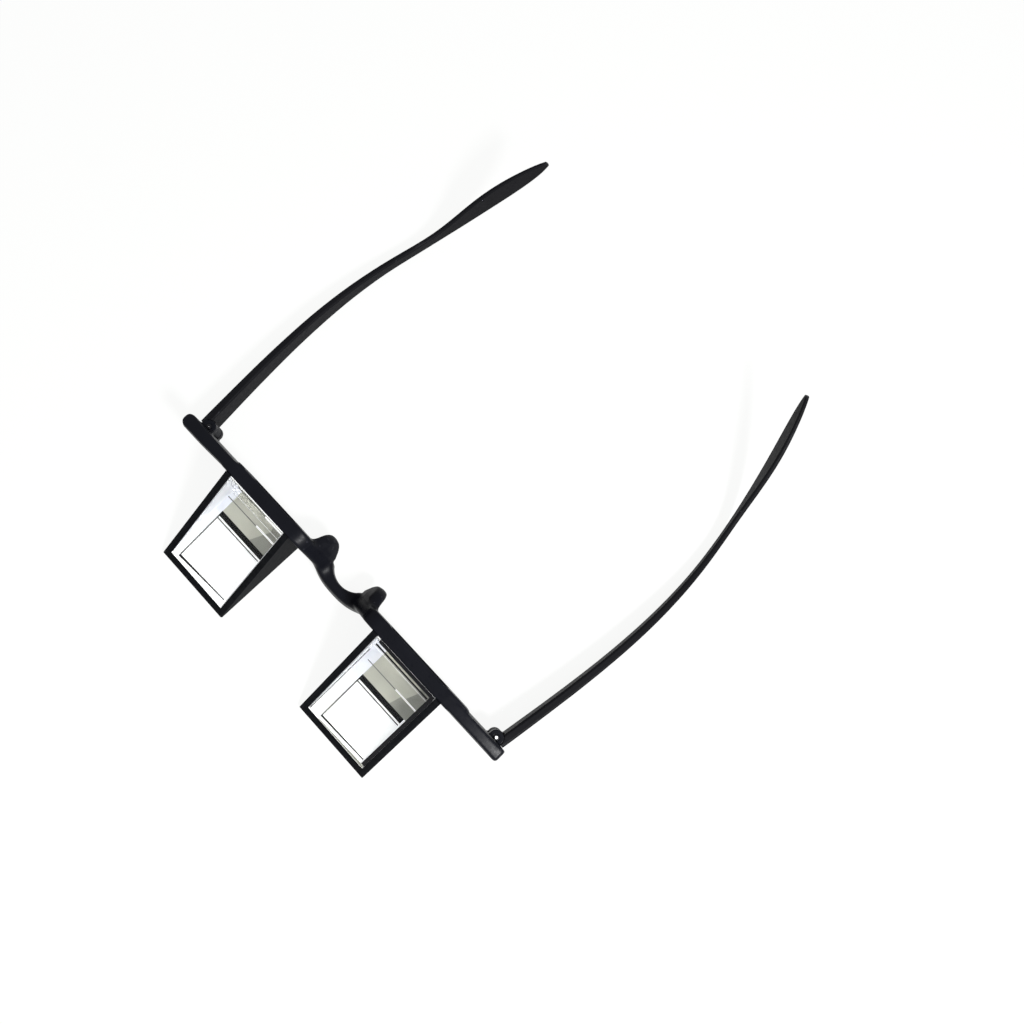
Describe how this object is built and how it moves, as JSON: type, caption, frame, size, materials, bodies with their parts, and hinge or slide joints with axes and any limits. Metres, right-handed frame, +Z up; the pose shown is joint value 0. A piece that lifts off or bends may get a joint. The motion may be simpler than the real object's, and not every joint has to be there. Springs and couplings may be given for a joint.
{
  "type": "prism bed glasses",
  "caption": "Eyeglass frame with a box-mounted 30-60-90 prism in front of each eye that turns the view down by a right angle, and folding temples with curled ends.",
  "frame": {"origin": "on the resting plane, mid width, in the plane of the front frame's front face", "axes": "+X to the wearer's right, +Y back along the temples, +Z up from the brow side that the glasses lie on, which is down when they are worn"},
  "size_m": [0.1564, 0.1831, 0.0292],
  "materials": {
    "frame_plastic": "black, lightly polished",
    "case_plastic": "black, satin",
    "prism_glass": "polished clear",
    "silvering": "silvered",
    "foam": "closed-cell foam",
    "cover_plastic": "black, fine matt",
    "temple_plastic": "black, lightly polished",
    "screw_steel": "bright"
  },
  "bodies": {
    "front": {"front_frame": "frame_plastic", "prism_case_right": "case_plastic", "prism_case_left": "case_plastic", "prism_right": "prism_glass", "prism_left": "prism_glass", "mirror_film_right": "silvering", "mirror_film_left": "silvering", "backing_pad_right": "foam", "backing_pad_left": "foam", "case_cover_right": "cover_plastic", "case_cover_left": "cover_plastic", "hinge_screw_right": "screw_steel", "hinge_screw_left": "screw_steel"},
    "right_temple": {"temple_right": "temple_plastic"},
    "left_temple": {"temple_left": "temple_plastic"}
  },
  "joints": [
    {"name": "right_hinge", "type": "hinge", "parent": "front", "child": "right_temple", "pos_m": [0.0689, 0.0053, 0.005], "axis": [0, 0, 1], "range_deg": [0, 75]},
    {"name": "left_hinge", "type": "hinge", "parent": "front", "child": "left_temple", "pos_m": [-0.0689, 0.0053, 0.005], "axis": [0, 0, -1], "range_deg": [-3.1, 84.9]}
  ]
}
